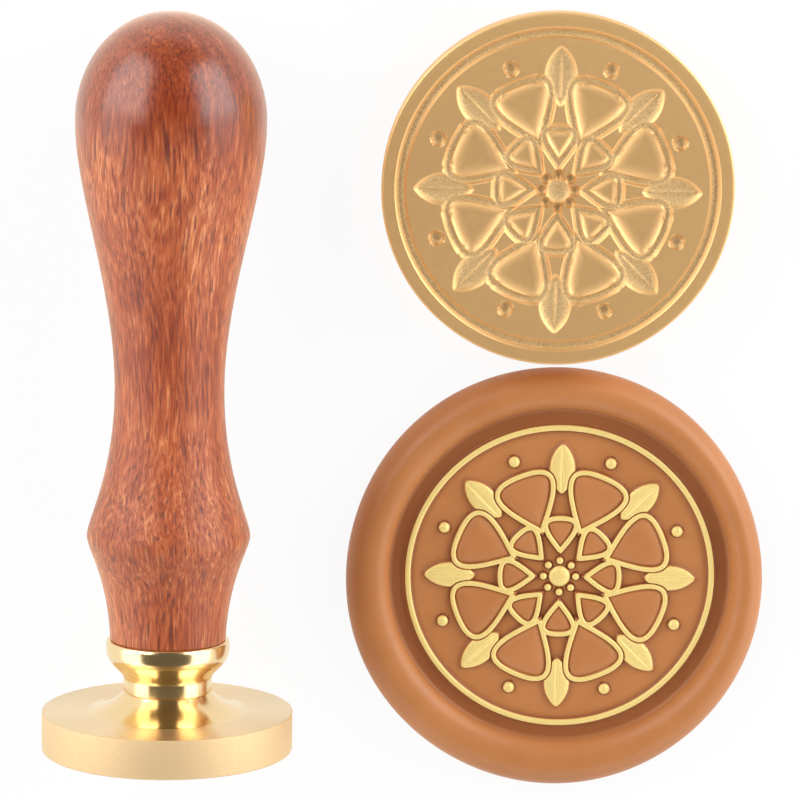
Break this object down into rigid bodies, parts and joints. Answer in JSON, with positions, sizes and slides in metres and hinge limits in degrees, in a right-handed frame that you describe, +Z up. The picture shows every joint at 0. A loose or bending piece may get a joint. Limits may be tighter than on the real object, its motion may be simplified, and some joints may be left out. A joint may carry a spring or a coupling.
{
  "type": "wax seal set",
  "caption": "Wax seal set: a turned wooden stamp with a screw-on engraved brass head, a larger loose head, and a wax seal with gilded relief.",
  "frame": {"origin": "on the table, under the middle of the whole set's box", "axes": "+Z up from the table, +Y along the lying stamp from its head to its handle, +X from the stamp towards the loose head and the wax seal"},
  "size_m": [0.0874, 0.0962, 0.0302],
  "materials": {
    "rosewood": "satin",
    "steel": "satin",
    "polished_brass": "polished",
    "brass": "satin",
    "wax": "satin",
    "gold_paint": "satin"
  },
  "bodies": {
    "handle": {"handle": "rosewood", "stud": "steel"},
    "ferrule": {"ferrule": "polished_brass"},
    "seal_head": {"seal_head": "brass"},
    "loose_head": {"loose_head": "brass"},
    "wax_seal": {"wax_seal": "wax", "gilt_dots": "gold_paint", "gilt_inner_petals": "gold_paint", "gilt_leaves": "gold_paint", "gilt_outer_petals": "gold_paint", "gilt_ring": "gold_paint"}
  },
  "joints": [
    {"name": "ferrule_slide", "type": "slide", "parent": "handle", "child": "ferrule", "axis": [0, -0.9986, 0.0536], "range_m": [0, 0.005]},
    {"name": "head_unscrew", "type": "hinge", "parent": "ferrule", "child": "seal_head", "pos_m": [-0.0287, -0.03288, 0.01484], "axis": [0, -0.9986, 0.0536], "range_deg": [0, 1800]},
    {"name": "loose_head_lift", "type": "slide", "parent": "handle", "child": "loose_head", "axis": [0, 0, 1], "range_m": [0, 0.04]},
    {"name": "wax_seal_lift", "type": "slide", "parent": "handle", "child": "wax_seal", "axis": [0, 0, 1], "range_m": [0, 0.04]}
  ],
  "couplings": [
    {"joint": "ferrule_slide", "follows": "head_unscrew", "m_per_rad": 0.00015915}
  ]
}
